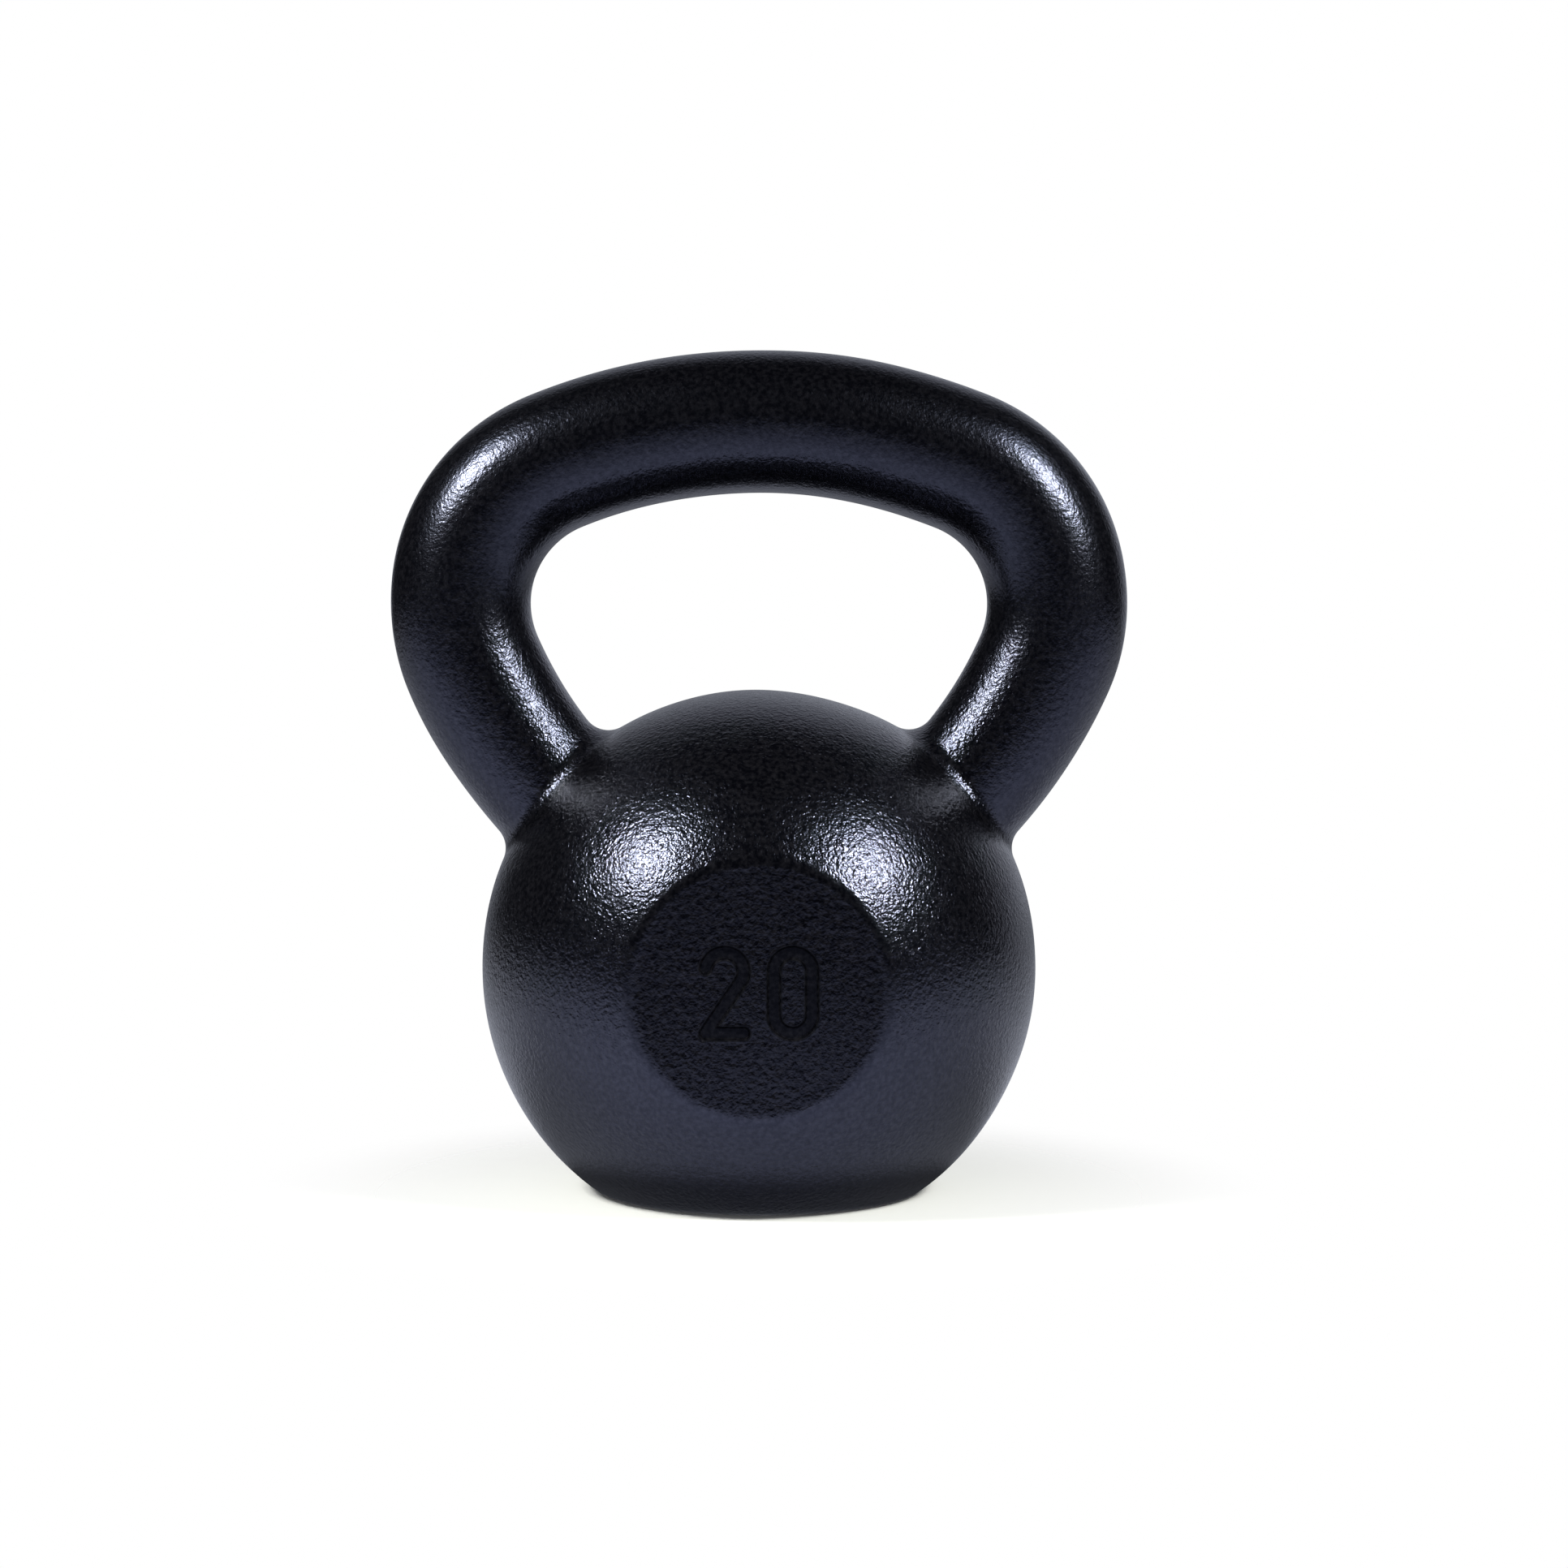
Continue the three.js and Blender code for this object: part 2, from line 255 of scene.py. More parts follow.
def to_figure_two(across, up):
    """Distance to the middle of a 2's stroke: a bowl, a tangent down to the left, and a foot."""
    bowl = (FIGURE_WIDTH - FIGURE_STROKE) / 2
    top = (FIGURE_HEIGHT - FIGURE_STROKE) / 2
    hub = np.array([0.0, top - bowl])
    low = np.array([-bowl, -top])
    drop = low - hub
    leave = math.atan2(drop[1], drop[0]) + math.acos(bowl / math.hypot(*drop))
    begin = math.radians(170)
    neck = hub + bowl * np.array([math.cos(leave), math.sin(leave)])
    tip = hub + bowl * np.array([math.cos(begin), math.sin(begin)])
    angle = np.arctan2(up - hub[1], across - hub[0])
    beside_bowl = (angle > leave) & (angle < begin)
    to_arc = np.where(
        beside_bowl,
        np.abs(np.hypot(across - hub[0], up - hub[1]) - bowl),
        np.hypot(across - tip[0], up - tip[1]),
    )
    foot_end = (FIGURE_WIDTH / 2 - FIGURE_STROKE / 2, -top)
    slope = to_segment(across, up, neck, low)
    foot = to_segment(across, up, low, foot_end)
    return np.minimum(to_arc, np.minimum(slope, foot))


def to_figure_nought(across, up):
    """Distance to the middle of a 0's stroke: a line kept at one distance from an upright."""
    rise = (FIGURE_HEIGHT - FIGURE_WIDTH) / 2
    core = to_segment(across, up, (0.0, -rise), (0.0, rise))
    return np.abs(core - (FIGURE_WIDTH - FIGURE_STROKE) / 2)


def sunk_figures(points):
    """
    Three shares from 0 to 1 at each point: how deep the 20 is sunk, how much the point is on a
    stroke's sloping wall, and how much it is on the low lip round a stroke. All are 0 behind.
    """
    across = points[:, 0]
    up = points[:, 2] - BELL_CENTRE.z
    stroke = np.minimum(
        to_figure_two(across + FIGURE_SPACING / 2, up),
        to_figure_nought(across - FIGURE_SPACING / 2, up),
    )
    past_edge = stroke - FIGURE_STROKE / 2
    sunk = smooth_step((FIGURE_WALL / 2 - past_edge) / FIGURE_WALL)
    wall = band(past_edge, FIGURE_WALL / 2, FIGURE_WALL)
    lip = band(past_edge - FIGURE_WALL, 0, FIGURE_LIP_WIDTH)
    front = points[:, 1] < 0
    return sunk * front, wall * front, lip * front


def plug_seat(bell):
    """Cuts the plug's stepped seat into the foot, with a small chamfer at its mouth."""
    chamfer = 0.6 * MM
    outline = [
        (SEAT_RADIUS + 2 * chamfer, -chamfer),
        (SEAT_RADIUS, chamfer),
        (SEAT_RADIUS, SEAT_HEIGHT),
    ]
    columns = 128
    turn = np.linspace(0, 2 * math.pi, columns, endpoint=False)
    rings = np.stack([
        np.stack([radius * np.cos(turn), radius * np.sin(turn), np.full_like(turn, height)], axis=-1)
        for radius, height in outline
    ])
    cutter = capped_tube("seat_cutter", rings)
    cut = bell.modifiers.new("seat", "BOOLEAN")
    cut.operation = "DIFFERENCE"
    cut.solver = "EXACT"
    cut.object = cutter
    graph = bpy.context.evaluated_depsgraph_get()
    finished = bpy.data.meshes.new_from_object(bell.evaluated_get(graph))
    bell.modifiers.clear()
    bell.data = finished
    bpy.data.objects.remove(cutter)


def make_bell():
    """
    The bell as rings round the front disc's axis, from the middle of the front disc to that of
    the back one. Rings are close together over the sunk figures and the discs' rounded edges.
    Each corner lies at bell_reach along its direction from the bell's centre, then is moved by
    the casting's waviness, the disc's lumps and the figures. The foot is left flat.
    """
    columns = 400
    flat = math.sqrt((BELL_RADIUS - DISC_EDGE_RADIUS) ** 2 - (DISC_DISTANCE - DISC_EDGE_RADIUS) ** 2)
    rim = math.atan2(flat, DISC_DISTANCE)
    ball = math.atan2(flat, DISC_DISTANCE - DISC_EDGE_RADIUS)
    figures = math.atan2(FINE_RINGS_REACH, DISC_DISTANCE)
    polar = spread([
        (0.3 * MM / DISC_DISTANCE, figures, 112),
        (figures, rim, 24),
        (rim, ball, 8),
        (ball, math.pi - ball, 68),
        (math.pi - ball, math.pi - rim, 8),
        (math.pi - rim, math.pi - 0.02, 20),
    ])
    turn = np.linspace(0, 2 * math.pi, columns, endpoint=False)
    polar, turn = np.meshgrid(polar, turn, indexing="ij")
    direction = np.stack([
        np.sin(polar) * np.sin(turn), -np.cos(polar), np.sin(polar) * np.cos(turn),
    ], axis=-1).reshape(-1, 3)
    poles = np.array([[0.0, -1.0, 0.0], [0.0, 1.0, 0.0]])
    direction = np.vstack([direction, poles])
    points = np.array(BELL_CENTRE) + direction * bell_reach(direction)[:, None]

    from_axis = np.hypot(points[:, 0], points[:, 2] - BELL_CENTRE.z)
    # The disc's own skin ends over the flat's last millimetre, and the foot's face stays true.
    on_disc = smooth_step((flat - from_axis) / (1.0 * MM))
    on_rolled_edge = band(from_axis - flat - 1.7 * MM, full=0.9 * MM, fade=1.5 * MM)
    off_foot = smooth_step((points[:, 2] - 0.2 * MM) / (3.0 * MM))
    sunk, wall, lip = sunk_figures(points)

    lumps = DISC_LUMP_DEPTH * ripples(points, DISC_LUMP_LENGTH, seed=11) * on_disc * (1 - sunk)
    lift = (cast_waviness(points) + lumps) * off_foot
    points += direction * lift[:, None]
    points[:, 1] += FIGURE_DEPTH * sunk - FIGURE_LIP * lip

    rows = polar.shape[0]
    caps = np.vstack([
        fan(rows * columns, 0, columns, True),
        fan(rows * columns + 1, (rows - 1) * columns, columns, False),
    ])
    bell = surface("bell", points, round_grid(rows, columns), caps)
    note_on_corners(bell, "disc", on_disc)
    note_on_corners(bell, "calm", np.maximum.reduce([0.85 * sunk, 0.6 * lip, 0.6 * on_rolled_edge]))
    # The hollow mark also puts painted shade in the figures: the coat shines hardly at all there.
    note_on_corners(bell, "hollow", np.maximum(wall, 0.55 * sunk))
    plug_seat(bell)
    bell.data.set_sharp_from_angle(angle=math.radians(50))
    return bell


# ---- The handle ----

def handle_bends():
    """Each bend's start along the centreline, radius, first heading and centre, then the end."""
    along, heading = 0.0, 0.0
    corner = np.array([0.0, CROWN_HEIGHT])
    arcs = []
    for radius, sweep in BENDS:
        centre = corner - radius * np.array([math.sin(heading), math.cos(heading)])
        arcs.append((along, radius, heading, centre))
        along += radius * sweep
        heading += sweep
        corner = centre + radius * np.array([math.sin(heading), math.cos(heading)])
    return arcs, along, heading, corner


ARCS, HORN_END, HORN_HEADING, HORN_CORNER = handle_bends()


def centreline(along):
    """
    Points on the right half of the handle's centreline and the outward direction at each, for
    distances from the crown's middle: round each bend in turn, then straight into the bell.
    """
    along = np.asarray(along, dtype=float)
    past = along - HORN_END
    x = HORN_CORNER[0] + past * math.cos(HORN_HEADING)
    z = HORN_CORNER[1] - past * math.sin(HORN_HEADING)
    turned = np.full_like(along, HORN_HEADING)
    limit = HORN_END
    for start, radius, heading, centre in reversed(ARCS):
        here = along < limit
        angle = heading + (along - start) / radius
        x = np.where(here, centre[0] + radius * np.sin(angle), x)
        z = np.where(here, centre[1] + radius * np.cos(angle), z)
        turned = np.where(here, angle, turned)
        limit = start
    zero = np.zeros_like(along)
    point = np.stack([x, zero, z], axis=-1)
    outward = np.stack([np.sin(turned), zero, np.cos(turned)], axis=-1)
    return point, outward


def square_to_bar(outward, turn):
    """Directions square to the bar, turned from its outer side towards the back by an angle."""
    back = np.array([0.0, 1.0, 0.0])
    return outward * np.cos(turn)[..., None] + back * np.sin(turn)[..., None]


def make_handle():
    """The bar: rings of one radius carried along the centreline from end to end, both ends capped."""
    columns = 112
    half = HORN_END + HORN_INSIDE
    along = np.linspace(-half, half, 381)
    turn = np.linspace(0, 2 * math.pi, columns, endpoint=False)
    point, outward = centreline(np.abs(along))
    side = np.where(along < 0, -1.0, 1.0)
    ring = square_to_bar(outward[:, None, :], np.broadcast_to(turn, (len(along), columns)))
    mirror = np.stack([side, np.ones_like(side), np.ones_like(side)], axis=-1)[:, None, :]
    rings = (point[:, None, :] + ring * GRIP_RADIUS) * mirror
    lift = cast_waviness(rings.reshape(-1, 3)).reshape(rings.shape[:2])
    rings += ring * mirror * lift[..., None]
    bar = capped_tube("handle", rings)
    bar.data.set_sharp_from_angle(angle=math.radians(50))
    return bar


# ---- The root welds ----

def where_it_meets(turn, reach, from_bell):
    """
    Distance along the centreline at which a point held at a given reach from it, at a turn
    round the bar, is at a given distance from the bell's centre. Found by halving.
    """
    halvings = 40
    near = np.full_like(turn, HORN_END - 4 * GRIP_RADIUS)
    far = np.full_like(turn, HORN_END + 2 * GRIP_RADIUS)
    for _ in range(halvings):
        middle = (near + far) / 2
        point, outward = centreline(middle)
        place = point + square_to_bar(outward, turn) * reach[:, None]
        outside = np.linalg.norm(place - np.array(BELL_CENTRE), axis=1) > from_bell
        near = np.where(outside, middle, near)
        far = np.where(outside, far, middle)
    return near


def make_weld(name, side):
    """
    The hollow fillet round a horn: the path of a small ball rolled along the root, touching bar
    and bell, with a radius that changes smoothly between the horn's sides and its faces. Past
    each touching line a thin skirt follows the bar or the bell and sinks gently under it, so
    that no edge shows. The back of the ring closes inside the metal.
    """
    columns = 240
    arc_steps = 20
    skirt = np.linspace(1, 0, 7)[:-1]
    skirt_width = 2.4 * MM
    proud, sunk = 0.006 * MM, 0.030 * MM
    burial = 1.45  # radii towards the bar, then as many towards the bell, to the ring's back
    centre = np.array(BELL_CENTRE)
    turn = np.linspace(0, 2 * math.pi, columns, endpoint=False)
    fillet = WELD_FACE_RADIUS + (WELD_SIDE_RADIUS - WELD_FACE_RADIUS) * np.cos(turn) ** 2
    hub_at = where_it_meets(turn, GRIP_RADIUS + fillet, BELL_RADIUS + fillet)
    point, outward = centreline(hub_at)
    away = square_to_bar(outward, turn)
    hub = point + away * (GRIP_RADIUS + fillet)[:, None]
    from_bell = hub - centre
    from_bell /= np.linalg.norm(from_bell, axis=1, keepdims=True)
    sweep = np.arccos(np.einsum("ij,ij->i", away, from_bell))

    rows, normals = [], []
    for part in skirt:
        near_point, near_outward = centreline(hub_at - part * skirt_width)
        normal = square_to_bar(near_outward, turn)
        rows.append(near_point + normal * (GRIP_RADIUS + proud - (proud + sunk) * part ** 2))
        normals.append(normal)
    for part in np.linspace(0, 1, arc_steps + 1):
        normal = away * (np.sin((1 - part) * sweep) / np.sin(sweep))[:, None]
        normal += from_bell * (np.sin(part * sweep) / np.sin(sweep))[:, None]
        rows.append(hub - normal * (fillet - proud)[:, None])
        normals.append(normal)
    along_bell = -away + from_bell * np.einsum("ij,ij->i", away, from_bell)[:, None]
    along_bell *= -1 / np.linalg.norm(along_bell, axis=1, keepdims=True)
    for part in skirt[::-1]:
        normal = from_bell * BELL_RADIUS + along_bell * part * skirt_width
        normal /= np.linalg.norm(normal, axis=1, keepdims=True)
        rows.append(centre + normal * (BELL_RADIUS + proud - (proud + sunk) * part ** 2))
        normals.append(normal)
    mirror = np.array([side, 1, 1])
    rings, normals = np.stack(rows) * mirror, np.stack(normals) * mirror
    rings += normals * cast_waviness(rings.reshape(-1, 3)).reshape(rings.shape[:2])[..., None]
    under = (hub - (away + from_bell) * (fillet * burial)[:, None]) * mirror
    rings = np.concatenate([rings, under[None]])
    around, across = rings.shape[:2]
    quads = round_grid(around + 1, across) % (around * across)
    weld = surface(name, rings.reshape(-1, 3), quads)
    weld.data.set_sharp_from_angle(angle=math.radians(50))
    return weld


# ---- The base plug ----

def make_plug():
    """
    The plug as rings round the upright axis: down its wall, round a chamfer, in over its face,
    then from a circle into a hexagon and up the key's socket. The hexagon's radius at an angle
    is half its flats over the cosine of the angle from the nearest flat's middle.
    """
    columns = 192
    turn = np.linspace(0, 2 * math.pi, columns, endpoint=False)
    one = np.ones_like(turn)
    sixth = math.pi / 3
    hexagon = 0.5 / np.cos((turn % sixth) - sixth / 2)
    low, high, wide = PLUG_LOW.z, PLUG_HIGH.z, PLUG_HIGH.x
    chamfer = 0.8 * MM
    soft = 0.2 * MM
    rows = [
        (wide * one * 0.9, high),
        ((wide - chamfer) * one, high),
        (wide * one, high - chamfer),
        (wide * one, low + chamfer + soft),
        (wide * one, low + chamfer),
        ((wide - chamfer) * one, low),
        ((wide - chamfer - soft) * one, low),
        (0.62 * wide * one, low),
        ((KEY_FLATS + 3.4 * MM) * 0.5 * one, low),
        ((KEY_FLATS + 3.0 * MM) * 0.5 * one, low + 0.3 * MM),
        ((KEY_FLATS + 0.9 * MM) * hexagon, low + 0.6 * MM),
        (KEY_FLATS * hexagon, low + 1.0 * MM),
        (KEY_FLATS * hexagon, low + KEY_DEPTH - soft),
        ((KEY_FLATS - 0.6 * MM) * hexagon, low + KEY_DEPTH),
    ]
    rings = np.stack([
        np.stack([radius * np.cos(turn), radius * np.sin(turn), height * one], axis=-1)
        for radius, height in rows
    ])
    plug = capped_tube("plug", rings)
    plug.data.set_sharp_from_angle(angle=math.radians(28))
    return plug


# ---- Materials ----

def new_material(name):
    """A material with nothing in it but a Principled shader joined to its output."""
    material = bpy.data.materials.new(name)
    material.use_nodes = True
    tree = material.node_tree
    tree.nodes.clear()
    shader = tree.nodes.new("ShaderNodeBsdfPrincipled")
    output = tree.nodes.new("ShaderNodeOutputMaterial")
    tree.links.new(shader.outputs["BSDF"], output.inputs["Surface"])
    return material, tree, shader


def add_node(tree, kind, inputs=None, **properties):
    """A node of a kind: each input takes another node's output, or a value of its own."""
    node = tree.nodes.new(kind)
    for name, value in properties.items():
        setattr(node, name, value)
    for name, value in (inputs or {}).items():
        if isinstance(value, bpy.types.NodeSocket):
            tree.links.new(value, node.inputs[name])
        else:
            node.inputs[name].default_value = value
    return node


def maths(tree, operation, first, second=0.0):
    """One sum: each side is a number or another node's output. Some sums use only the first."""
    node = tree.nodes.new("ShaderNodeMath")
    node.operation = operation
    for socket, value in zip(node.inputs, (first, second)):
        if isinstance(value, (int, float)):
            socket.default_value = value
        else:
            tree.links.new(value, socket)
    return node.outputs[0]


def new_group(name, inputs, outputs):
    """An empty shader node group with float or vector inputs and outputs, each (name, default)."""
    group = bpy.data.node_groups.new(name, "ShaderNodeTree")
    for socket_name, default in inputs:
        kind = "NodeSocketVector" if default is None else "NodeSocketFloat"
        socket = group.interface.new_socket(socket_name, in_out="INPUT", socket_type=kind)
        if default is not None:
            socket.default_value = default
    for socket_name in outputs:
        group.interface.new_socket(socket_name, in_out="OUTPUT", socket_type="NodeSocketFloat")
    return group, group.nodes.new("NodeGroupInput"), group.nodes.new("NodeGroupOutput")


def left_after(tree, mask, part=1.0):
    """What is left where a mask takes a part away: 1 - part x mask."""
    return maths(tree, "SUBTRACT", 1.0, maths(tree, "MULTIPLY", mask, part))


def about_zero(tree, noise, weight):
    """A noise's value, moved so that it lies evenly about zero, times a weight."""
    return maths(tree, "MULTIPLY", maths(tree, "SUBTRACT", noise.outputs["Fac"], 0.5), weight)


def orange_peel_group():
    """
    The skin of a baked powder coat, as a height: rounded lumps about 1/scale across, parted by
    narrow creases where a slower noise folds at zero, over a swell, with a finer grain on top.
    """
    group, given, out = new_group(
        "orange_peel",
        [("Vector", None), ("Scale", 1000.0), ("Grain", 0.25), ("Swell", 0.4)],
        ["Height"],
    )
    vector, scale = given.outputs["Vector"], given.outputs["Scale"]
    total = 0.0
    for size, detail, weight, folded in (
        (0.6, 1.0, 0.9, True),
        (1.0, 2.5, 0.8, False),
        (2.3, 1.0, given.outputs["Grain"], False),
        (0.35, 1.0, given.outputs["Swell"], False),
    ):
        pitch = maths(group, "MULTIPLY", scale, size)
        noise = add_node(group, "ShaderNodeTexNoise", {"Vector": vector, "Scale": pitch, "Detail": detail})
        part = about_zero(group, noise, weight)
        part = maths(group, "ABSOLUTE", part) if folded else part
        total = maths(group, "ADD", total, part)
    group.links.new(total, out.inputs["Height"])
    return group


def coat_gloss_group():
    """How rough the coat is from place to place: a base value with slow smudges and fine specks."""
    group, given, out = new_group(
        "coat_gloss",
        [("Vector", None), ("Base", 0.3), ("Smudge", 0.05), ("Speck", 0.04)],
        ["Roughness"],
    )
    vector = given.outputs["Vector"]
    slow = add_node(group, "ShaderNodeTexNoise", {"Vector": vector, "Scale": 28.0, "Detail": 3.0})
    fine = add_node(group, "ShaderNodeTexNoise", {"Vector": vector, "Scale": 1400.0, "Detail": 1.0})
    smudge = about_zero(group, slow, given.outputs["Smudge"])
    speck = about_zero(group, fine, given.outputs["Speck"])
    total = maths(group, "ADD", given.outputs["Base"], maths(group, "ADD", smudge, speck))
    group.links.new(total, out.inputs["Roughness"])
    return group


ORANGE_PEEL = orange_peel_group()
COAT_GLOSS = coat_gloss_group()

COAT_BLACK = (0.0004, 0.0004, 0.0008, 1.0)
COAT_GREY = (0.0046, 0.0044, 0.0056, 1.0)
COAT_SHEEN_TINT = (0.66, 0.70, 1.0, 1.0)
COAT_IOR = 1.52
PEEL_DEPTH = 0.28 * MM

# The drawn bar is smoother than the cast bell, and it takes over between these two heights.
ROOT_HEIGHT = 130.0 * MM
BAR_HEIGHT = 180.0 * MM


def place_group(tree, group, vector, **values):
    """A group set down in a material's tree with its own values."""
    node = tree.nodes.new("ShaderNodeGroup")
    node.node_tree = group
    tree.links.new(vector, node.inputs["Vector"])
    for name, value in values.items():
        node.inputs[name.title()].default_value = value
    return node


def corner_mark(tree, name):
    """The number kept on a piece's corners under a name. It's 0 on a piece that has none."""
    return add_node(tree, "ShaderNodeAttribute", attribute_name=name).outputs["Fac"]


def peel_relief(tree, where, disc, bar):
    """
    The coat's lumps as a normal: a fine peel, giving way to a coarse one where the corners are
    marked disc. It's shallower on the bar and where the corners are marked calm.
    """
    fine = place_group(tree, ORANGE_PEEL, where, scale=800.0, grain=0.35, swell=0.3)
    coarse = place_group(tree, ORANGE_PEEL, where, scale=560.0, grain=0.5, swell=0.4)
    fine_part = maths(tree, "MULTIPLY", fine.outputs["Height"], left_after(tree, disc))
    coarse_part = maths(tree, "MULTIPLY", coarse.outputs["Height"], disc)
    kept = maths(tree, "MULTIPLY", left_after(tree, corner_mark(tree, "calm")), left_after(tree, bar, 0.45))
    height = maths(tree, "MULTIPLY", maths(tree, "ADD", fine_part, coarse_part), kept)
    bump = add_node(tree, "ShaderNodeBump", {"Height": height, "Strength": 1.0, "Distance": PEEL_DEPTH})
    return bump.outputs["Normal"]


def coat_roughness(tree, where, hollow, bar):
    """The coat's uneven gloss, duller in the figures' hollows and a little duller on the bar."""
    gloss = place_group(tree, COAT_GLOSS, where, base=0.18, smudge=0.05, speck=0.12)
    rough = maths(tree, "ADD", gloss.outputs["Roughness"], maths(tree, "MULTIPLY", hollow, 0.45))
    return maths(tree, "ADD", rough, maths(tree, "MULTIPLY", bar, 0.05))


def sheen_and_painted_shade(tree, grains, disc, hollow):
    """How strongly the coat shines: more on pale grains, less on the discs and hardly at all in hollows, as
    painted shade.
    """
    # Less shine on the discs is painted shade, for the pits of their coarse skin.
    sheen = maths(tree, "SUBTRACT", 0.5, maths(tree, "MULTIPLY", disc, 0.20))
    sheen = maths(tree, "MULTIPLY", sheen, maths(tree, "ADD", about_zero(tree, grains, 0.8), 1.0))
    # Hardly any shine in the figures' hollows is painted shade in the recesses.
    return maths(tree, "MULTIPLY", sheen, left_after(tree, hollow, 0.9))


def powder_coat():
    """
    Baked black powder coat: near-black and paler grains, orange-peel relief and uneven gloss.
    Marks on the corners of the bell say where the discs and the sunk figures are.
    """
    material, tree, shader = new_material("powder_coat")
    where = add_node(tree, "ShaderNodeTexCoord").outputs["Object"]
    disc, hollow = corner_mark(tree, "disc"), corner_mark(tree, "hollow")
    upright = add_node(tree, "ShaderNodeSeparateXYZ", {0: where}).outputs["Z"]
    bar = add_node(
        tree, "ShaderNodeMapRange", {"Value": upright, "From Min": ROOT_HEIGHT, "From Max": BAR_HEIGHT},
    ).outputs["Result"]
    tree.links.new(peel_relief(tree, where, disc, bar), shader.inputs["Normal"])
    tree.links.new(coat_roughness(tree, where, hollow, bar), shader.inputs["Roughness"])

    grains = add_node(tree, "ShaderNodeTexNoise", {"Vector": where, "Scale": 750.0, "Detail": 2.0})
    ramp = add_node(tree, "ShaderNodeValToRGB", {"Fac": grains.outputs["Fac"]})
    ramp.color_ramp.elements[0].position = 0.40
    ramp.color_ramp.elements[0].color = COAT_BLACK
    ramp.color_ramp.elements[1].position = 0.72
    ramp.color_ramp.elements[1].color = COAT_GREY
    tree.links.new(ramp.outputs["Color"], shader.inputs["Base Color"])
    # The coat's shine carries painted shade on the discs and in the figures' hollows.
    tree.links.new(sheen_and_painted_shade(tree, grains, disc, hollow), shader.inputs["Specular IOR Level"])
    shader.inputs["IOR"].default_value = COAT_IOR
    shader.inputs["Specular Tint"].default_value = COAT_SHEEN_TINT
    return material


def zinc_plate():
    """Zinc-plated steel: blue-grey metal, turned in fine rings about the plug's axis, slightly dull."""
    material, tree, shader = new_material("zinc_plate")
    where = add_node(tree, "ShaderNodeTexCoord").outputs["Object"]
    rings = add_node(tree, "ShaderNodeTexWave",
                     {"Vector": where, "Scale": 900.0, "Distortion": 1.2, "Detail": 2.0},
                     wave_type="RINGS", rings_direction="Z")
    bump = add_node(tree, "ShaderNodeBump",
                    {"Height": rings.outputs["Fac"], "Strength": 0.25, "Distance": 0.02 * MM})
    tree.links.new(bump.outputs["Normal"], shader.inputs["Normal"])
    patina = add_node(tree, "ShaderNodeTexNoise", {"Vector": where, "Scale": 160.0, "Detail": 4.0})
    ramp = add_node(tree, "ShaderNodeValToRGB", {"Fac": patina.outputs["Fac"]})
    ramp.color_ramp.elements[0].color = (0.30, 0.31, 0.33, 1.0)
    ramp.color_ramp.elements[1].color = (0.50, 0.51, 0.53, 1.0)
    tree.links.new(ramp.outputs["Color"], shader.inputs["Base Color"])
    rough = place_group(tree, COAT_GLOSS, where, base=0.38, smudge=0.2, speck=0.1)
    tree.links.new(rough.outputs["Roughness"], shader.inputs["Roughness"])
    shader.inputs["Metallic"].default_value = 1.0
    return material


def steel_shot():
    """Packed round shot: each cell of a Voronoi pattern is one ball, darker towards its edge as painted
    shade in the gaps.
    """
    material, tree, shader = new_material("steel_shot")
    where = add_node(tree, "ShaderNodeTexCoord").outputs["Object"]
    balls = add_node(tree, "ShaderNodeTexVoronoi", {"Vector": where, "Scale": 420.0})
    bump = add_node(tree, "ShaderNodeBump", {"Height": balls.outputs["Distance"], "Distance": 1.0 * MM},
                    invert=True)
    tree.links.new(bump.outputs["Normal"], shader.inputs["Normal"])
    # The colour darkens from each ball's middle to its edge: painted shade between the balls.
    ramp = add_node(tree, "ShaderNodeValToRGB", {"Fac": balls.outputs["Distance"]})
    ramp.color_ramp.elements[0].color = (0.40, 0.40, 0.41, 1.0)
    ramp.color_ramp.elements[1].color = (0.04, 0.04, 0.04, 1.0)
    tree.links.new(ramp.outputs["Color"], shader.inputs["Base Color"])
    shader.inputs["Metallic"].default_value = 1.0
    shader.inputs["Roughness"].default_value = 0.45
    return material


# ---- Putting it together ----

def fit_piece(piece, material, node):
    """Gives a piece its material, and puts it on the body in place of its CAD node."""
    piece.data.materials.clear()
    piece.data.materials.append(material)
    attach(piece, "root")
    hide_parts(node)


coat = powder_coat()
fit_piece(make_bell(), coat, "bell_casting")
fit_piece(make_handle(), coat, "handle_bar")
fit_piece(make_weld("left_weld", -1), coat, "left_horn_weld")
fit_piece(make_weld("right_weld", 1), coat, "right_horn_weld")
fit_piece(make_plug(), zinc_plate(), "base_plug")

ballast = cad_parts["trim_ballast"]
shot = steel_shot()
for material_slot in ballast.material_slots:
    material_slot.material = shot


# ---- Stage ----

STUDIO_TINT = (0.83, 0.87, 1.0, 1.0)  # of what the coat reflects from the room and the floor
LAMP_COLOUR = (1.0, 1.0, 0.90)
FACE_COLOUR = (0.88, 0.97, 1.0)
LAMP_DISTANCE = 0.85
LAMP_TARGET = Vector((0.0, -0.06, 0.04))
FLOOR_HEIGHT = -0.1 * MM  # just under the foot, so that the two never share a plane
FLOOR_RADIUS = 2.5


